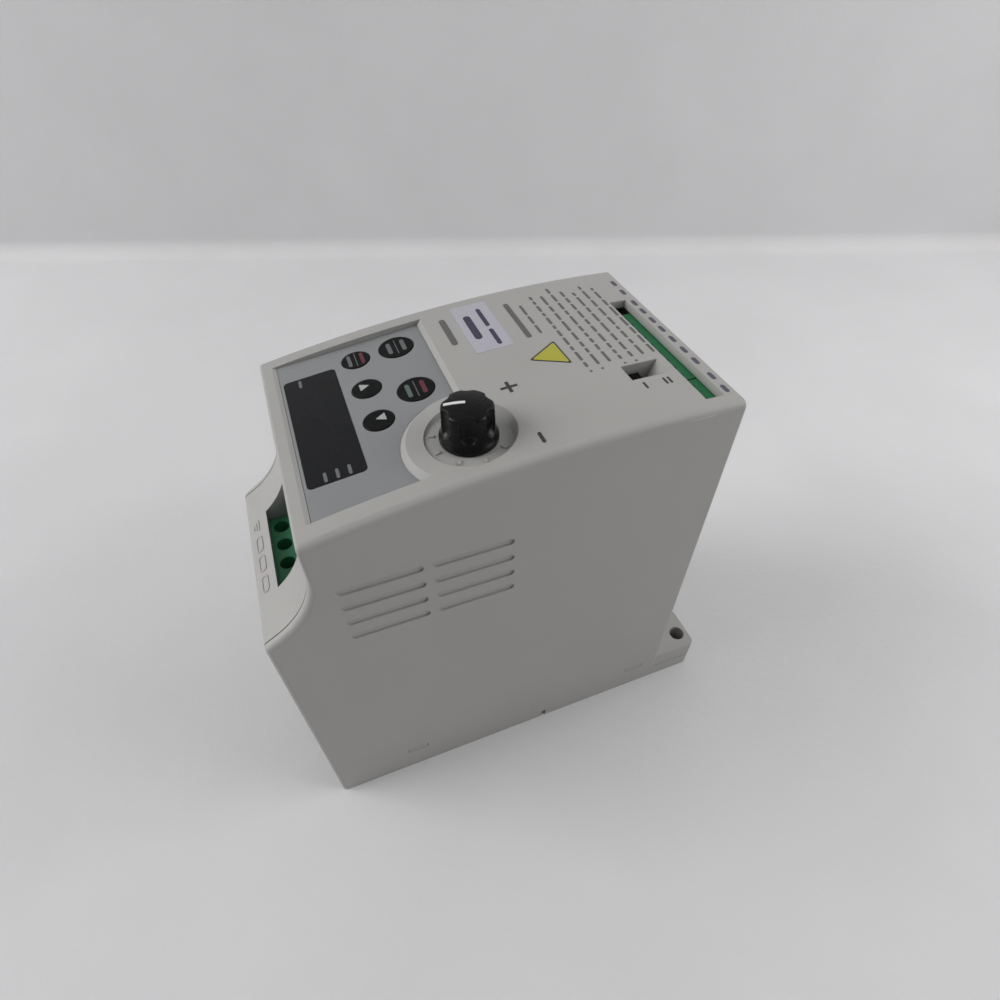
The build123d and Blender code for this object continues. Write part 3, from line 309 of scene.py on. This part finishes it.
def lay(name, outlines, node, body, material, slot, lift=0.03, sink=0.04, strip=1.5):
    """Presses flat outlines, in millimetres, onto the upper skin of a CAD node as a thin layer.

    The outlines are cut into strips along x first, so that a wide one follows the curved front."""
    shape = bmesh.new()
    for outline in outlines:
        shape.faces.new([shape.verts.new((x, y, 0)) for x, y in outline])
    low = min(v.co.x for v in shape.verts)
    high = max(v.co.x for v in shape.verts)
    for step in range(1, math.ceil((high - low) / strip)):
        bmesh.ops.bisect_plane(shape, geom=shape.verts[:] + shape.edges[:] + shape.faces[:],
                               plane_co=(low + step * strip, 0, 0), plane_no=(1, 0, 0))
    raised = bmesh.ops.extrude_face_region(shape, geom=shape.faces[:], use_keep_orig=True)
    upper = {v for v in raised["geom"] if isinstance(v, bmesh.types.BMVert)}
    for vert in shape.verts:
        x, y = vert.co.x, vert.co.y
        vert.co = at(x, y, top_of(node, x, y) + (lift if vert in upper else -sink))
    bmesh.ops.recalc_face_normals(shape, faces=shape.faces[:])
    mesh = bpy.data.meshes.new(name)
    shape.to_mesh(mesh)
    shape.free()
    piece = bpy.data.objects.new(name, mesh)
    bpy.context.scene.collection.objects.link(piece)
    paint(piece, material.material)
    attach(piece, body)
    return piece


def bar(x, y0, y1, height, ends=5):
    """Outline of a bar along y with rounded ends, height millimetres wide."""
    r = height / 2
    turn = [math.pi * i / ends for i in range(ends + 1)]
    near = [(x - r * math.cos(a), y0 + r - r * math.sin(a)) for a in turn]
    far = [(x + r * math.cos(a), y1 - r + r * math.sin(a)) for a in turn]
    return near + far


def box_outline(x0, x1, y0, y1, corner=0.0, steps=4):
    """Rectangle with rounded corners."""
    if corner == 0:
        return [(x0, y0), (x1, y0), (x1, y1), (x0, y1)]
    points = []
    corners = ((x1 - corner, y1 - corner, 0), (x0 + corner, y1 - corner, 90),
               (x0 + corner, y0 + corner, 180), (x1 - corner, y0 + corner, 270))
    for cx, cy, start in corners:
        for i in range(steps + 1):
            a = math.radians(start + 90 * i / steps)
            points.append((cx + corner * math.cos(a), cy + corner * math.sin(a)))
    return points


def disc(x, y, r, sides=20):
    return [(x + r * math.cos(2 * math.pi * i / sides), y + r * math.sin(2 * math.pi * i / sides))
            for i in range(sides)]


def words(x, y0, y1, height, chance):
    """A line of small print as plain bars of uneven length."""
    bars = []
    y = y0
    while y < y1 - 1.2:
        length = chance.uniform(1.6, 5.2)
        bars.append(bar(x, y, min(y + length, y1), height))
        y += length + 0.75
    return bars


def plus(x, y, reach, stroke):
    """A plus sign's outline."""
    s = stroke / 2
    return [(x - s, y - reach), (x + s, y - reach), (x + s, y - s), (x + reach, y - s),
            (x + reach, y + s), (x + s, y + s), (x + s, y + reach), (x - s, y + reach),
            (x - s, y + s), (x - reach, y + s), (x - reach, y - s), (x - s, y - s)]


def triangle(points, corner=0.5, steps=3):
    """Three points joined with rounded corners."""
    outline = []
    for i in range(3):
        here = Vector(points[i])
        before = (Vector(points[i - 1]) - here).normalized()
        after = (Vector(points[(i + 1) % 3]) - here).normalized()
        start, end = here + before * corner, here + after * corner
        for k in range(steps + 1):
            t = k / steps
            point = start * (1 - t) ** 2 + here * 2 * t * (1 - t) + end * t * t
            outline.append((point.x, point.y))
    return outline


def shrunk(points, by):
    """A triangle's points drawn in towards its middle, so that its sides move in by about by."""
    middle = sum((Vector(p) for p in points), Vector((0, 0))) / 3
    inner = []
    for p in points:
        arm = Vector(p) - middle
        inner.append(tuple(middle + arm * (1 - 2 * by / arm.length)))
    return inner


# ---- the front's printing ----
PRINT_ROWS = 7
PRINT_FIRST_X = 88.0
PRINT_PITCH = 3.03
PRINT_BULLET_Y = 23.0
PRINT_Y = (24.8, 64.0)
PRINT_RAGGED = 7                # how far short of the margin a row may stop
PRINT_HEIGHT = 0.8
BULLET_ROWS = (0, 1, 3, 4)
HEADING_BARS = ((80.4, 41.9, 59.9, 1.5), (62.2, 46.9, 59.9, 1.7))      # x, y range, height

LABEL_BOX = (65.7, 75.7, 40.9, 63.7)
LABEL_CORNER = 0.6
LABEL_BARS = ((68.6, 46.6, 58.4, 2.0), (72.6, 42.4, 50.0, 1.2), (72.6, 51.4, 60.6, 1.2))

NOTICE_POINTS = ((76.3, 32.8), (85.4, 27.6), (85.1, 38.2))
NOTICE_BORDER = 0.42

DIAL_X = 68.0                   # minus and plus beside the knob
DIAL_STROKE = 0.85
SELECT_MARK_Y = (12.1, 14.6)
SELECT_MARK_X = (97.1, 102.3, 103.5)

TERMINAL_MARK_X = 113.7
TERMINAL_MARK_Y = (6.25, 11.5, 18.2, 23.3, 28.5, 33.6, 38.3, 43.2, 47.8, 54.2, 59.5)
TERMINAL_MARK_HALF = 1.5

LAMP_MARK_X = (23.0, 25.7, 28.4)
LAMP_MARK_HEIGHT = 0.75


def print_on_case(name, outlines, ink_name, **layer):
    """Lays printed outlines on the case."""
    lay(name, outlines, "front_case", "drive", INKS[ink_name], "case_plastic", **layer)


def front_print():
    """Small print, heading and model line, all as plain bars."""
    chance = random.Random(7)
    rows = []
    for i in range(PRINT_ROWS):
        x = PRINT_FIRST_X + PRINT_PITCH * i
        far = PRINT_Y[1] - chance.uniform(0, PRINT_RAGGED)
        if i in BULLET_ROWS:
            rows.append(disc(x, PRINT_BULLET_Y, 0.38))
        rows += words(x, PRINT_Y[0], far, PRINT_HEIGHT, chance)
    rows += words(83.8, 42.6, 59.2, 0.75, chance)
    rows += [bar(*place) for place in HEADING_BARS]
    print_on_case("front_print", rows, "case_ink")


def rating_label():
    """Blank rating label with three plain bars."""
    print_on_case("rating_label", [box_outline(*LABEL_BOX, LABEL_CORNER)], "label_face", lift=0.06)
    bars = [bar(*place) for place in LABEL_BARS]
    print_on_case("rating_label_bars", bars, "label_ink", lift=0.09)


def notice_triangle():
    """Plain yellow triangle with a dark border and nothing in it."""
    print_on_case("notice_border", [triangle(NOTICE_POINTS, 0.8)], "dark_ink", lift=0.04)
    face = triangle(shrunk(NOTICE_POINTS, NOTICE_BORDER), 0.6)
    print_on_case("notice_face", [face], "notice_yellow", lift=0.07)


def dial_marks():
    """Minus and plus at the ends of the knob's travel, one and two bars at the selector."""
    marks = [bar(DIAL_X, 4.4, 8.0, DIAL_STROKE), plus(DIAL_X, 25.2, 2.1, DIAL_STROKE)]
    marks += [bar(x, *SELECT_MARK_Y, 0.6) for x in SELECT_MARK_X]
    print_on_case("dial_marks", marks, "dark_ink")


def terminal_marks():
    """One bar for each control terminal, on the strip beside the slot."""
    half = TERMINAL_MARK_HALF
    bars = [bar(TERMINAL_MARK_X, y - half, y + half, 1.2) for y in TERMINAL_MARK_Y]
    print_on_case("terminal_marks", bars, "strip_ink")


def display_marks():
    """Short bars for the window's four lamp legends."""
    bars = [bar(x, 15.9, 19.0, LAMP_MARK_HEIGHT) for x in LAMP_MARK_X]
    bars.append(bar(22.9, 51.4, 54.5, LAMP_MARK_HEIGHT))
    lay("display_marks", bars, "display_window", "drive", INKS["window_ink"], "window_dark")


def ring(x, y0, y1, height, stroke):
    """A hollow round-ended capsule along y, as two halves that meet."""
    outer = bar(x, y0, y1, height)
    inner = bar(x, y0 + stroke, y1 - stroke, height - 2 * stroke)
    half = len(outer) // 2
    near = outer[:half] + inner[:half][::-1]
    far = outer[half:] + inner[half:][::-1]
    sides = [[outer[half - 1], outer[half], inner[half], inner[half - 1]],
             [outer[-1], outer[0], inner[0], inner[-1]]]
    return [near, far] + sides


def panel_marks():
    """Low relief on the terminal panel: hollow capsules for the legends, and three lines."""
    shapes = []
    for y0, y1 in ((15.4, 20.6), (21.9, 27.1), (28.4, 33.6)):
        shapes += ring(2.5, y0, y1, 2.0, 0.42)
    for x, half in ((1.6, 0.7), (2.3, 1.3), (3.0, 1.9)):
        shapes.append(bar(x, 37.4 - half, 37.4 + half, 0.36))
    lay("panel_marks", shapes, "terminal_panel", "drive", FINISHES["case_plastic"],
        "case_plastic", lift=0.12, strip=0.5)


def key_centre(key):
    low, high = span(key)
    return (low.x + high.x) / 2, (low.y + high.y) / 2


def arrow(x, y, towards):
    """Small triangle that points along x."""
    back = x - 1.15 * towards
    return [(x + 1.25 * towards, y), (back, y + 1.35), (back, y - 1.35)]


ARROWS = (("up", -1, 0.6, 0.6), ("down", 1, -0.4, 0.95))     # key, way it points, offset
LEGENDS = {     # half length, bar height, step from line to bar, ink above the line and below
    "mode_reset": (3.1, 0.9, 1.65, "grey_ink", "red_ink"),
    "prog_data": (3.1, 1.1, 1.85, "grey_ink", "grey_ink"),
    "run_stop": (3.2, 1.1, 1.85, "green_ink", "red_ink"),
}
LEGEND_INSET = 0.6


def print_on_key(name, key, outline, ink_name):
    """Lays one printed outline on a key, and lets it ride the key."""
    lay(f"{name}_{key}", [outline], f"key_{key}", f"button_{key}", INKS[ink_name], "key_black")


def key_marks():
    """Arrows on two keys, and on the others a thin line between two short bars."""
    for key, towards, dx, dy in ARROWS:
        x, y = key_centre(f"key_{key}")
        print_on_key("arrow", key, triangle(arrow(x + dx, y + dy, towards), 0.25), "light_ink")
    for key, (half, height, step, upper, lower) in LEGENDS.items():
        x, y = key_centre(f"key_{key}")
        near, far = y - half + LEGEND_INSET, y + half - LEGEND_INSET
        print_on_key("line", key, bar(x, y - half, y + half, 0.22), "grey_ink")
        print_on_key("upper", key, bar(x - step, near, far, height), upper)
        print_on_key("lower", key, bar(x + step, near, far, height), lower)


# ---------------------------------------------------------------- stage
def soft_light(name, place, target, size, power, colour=(1, 1, 1)):
    data = bpy.data.lights.new(name, "AREA")
    data.shape = "RECTANGLE"
    data.size, data.size_y = size
    data.energy = power
    data.color = colour
    lamp = bpy.data.objects.new(name, data)
    bpy.context.scene.collection.objects.link(lamp)
    lamp.location = place
    lamp.rotation_mode = "QUATERNION"
    lamp.rotation_quaternion = (target - place).to_track_quat("-Z", "Y")
    return lamp


# ---- stage, in metres ----
FLOOR_TURN = -20.5              # degrees that the floor's back line is turned by
ROOM_LIGHT = 0.225


def studio():
    """Pale floor that bends up into a backdrop, dim room light, a wide window and three fills."""
    width, near, bend, rise = 3.0, -1.2, 0.33, 1.4
    radius, steps = 0.012, 12
    profile = [(near, 0.0), (bend, 0.0)]
    for i in range(1, steps + 1):
        a = math.pi / 2 * i / steps
        profile.append((bend + radius * math.sin(a), radius * (1 - math.cos(a))))
    profile.append((bend + radius, rise))
    mesh = bpy.data.meshes.new("floor")
    verts = [(x, y, z) for y, z in profile for x in (-width, width)]
    faces = [(2 * i, 2 * i + 1, 2 * i + 3, 2 * i + 2) for i in range(len(profile) - 1)]
    mesh.from_pydata(verts, [], faces)
    floor = bpy.data.objects.new("floor", mesh)
    bpy.context.scene.collection.objects.link(floor)
    floor.rotation_euler.z = math.radians(FLOOR_TURN)
    floor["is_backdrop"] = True
    sheet = Finish("floor_sheet", srgb(214, 213, 214), 0.8)
    sheet.mottle(0.02, 60).grain(3.0, 0.12, detail=5)
    paint(floor, sheet.material)

    world = bpy.data.worlds.new("studio")
    bpy.context.scene.world = world
    world.use_nodes = True
    background = world.node_tree.nodes["Background"]
    background.inputs["Color"].default_value = (0.97, 0.98, 1.0, 1)
    background.inputs["Strength"].default_value = ROOM_LIGHT
    middle = at(60, 34, 60)
    soft_light("window_light", middle + Vector((-1.2, 0.5, 0.75)), middle, (1.3, 0.9), 21)
    soft_light("right_fill", middle + Vector((1.1, -0.5, 0.5)), middle, (0.9, 0.9), 5)
    soft_light("top_fill", middle + Vector((0.0, 0.1, 1.5)), middle, (1.2, 1.2), 1)
    beyond_foot = at(170, 10)
    soft_light("floor_fill", middle + Vector((0.42, -0.12, 0.3)), beyond_foot, (0.4, 0.4), 0.7)


CAMERA_PLACE = (25.37, -81.97, 211.7)       # millimetres on the drive
CAMERA_ANGLES = (20.55, 46.76, -0.545)      # heading, downward tilt and roll in degrees
CAMERA_LENS = 21.87


def camera():
    """Looks down at the drive's near corner, a little off level."""
    heading, down, roll = (math.radians(a) for a in CAMERA_ANGLES)
    data = bpy.data.cameras.new("camera")
    data.sensor_width = 36
    data.lens = CAMERA_LENS
    data.clip_start = 0.01
    view = bpy.data.objects.new("camera", data)
    bpy.context.scene.collection.objects.link(view)
    turn = Matrix.Rotation(-heading, 4, "Z") @ Matrix.Rotation(math.pi / 2 - down, 4, "X")
    place = Matrix.Translation(at(*CAMERA_PLACE))
    view.matrix_world = place @ turn @ Matrix.Rotation(roll, 4, "Z")
    bpy.context.scene.camera = view
    bpy.context.scene.view_settings.view_transform = "Standard"


paint_cad()
front_print()
rating_label()
notice_triangle()
dial_marks()
terminal_marks()
display_marks()
panel_marks()
key_marks()
studio()
camera()
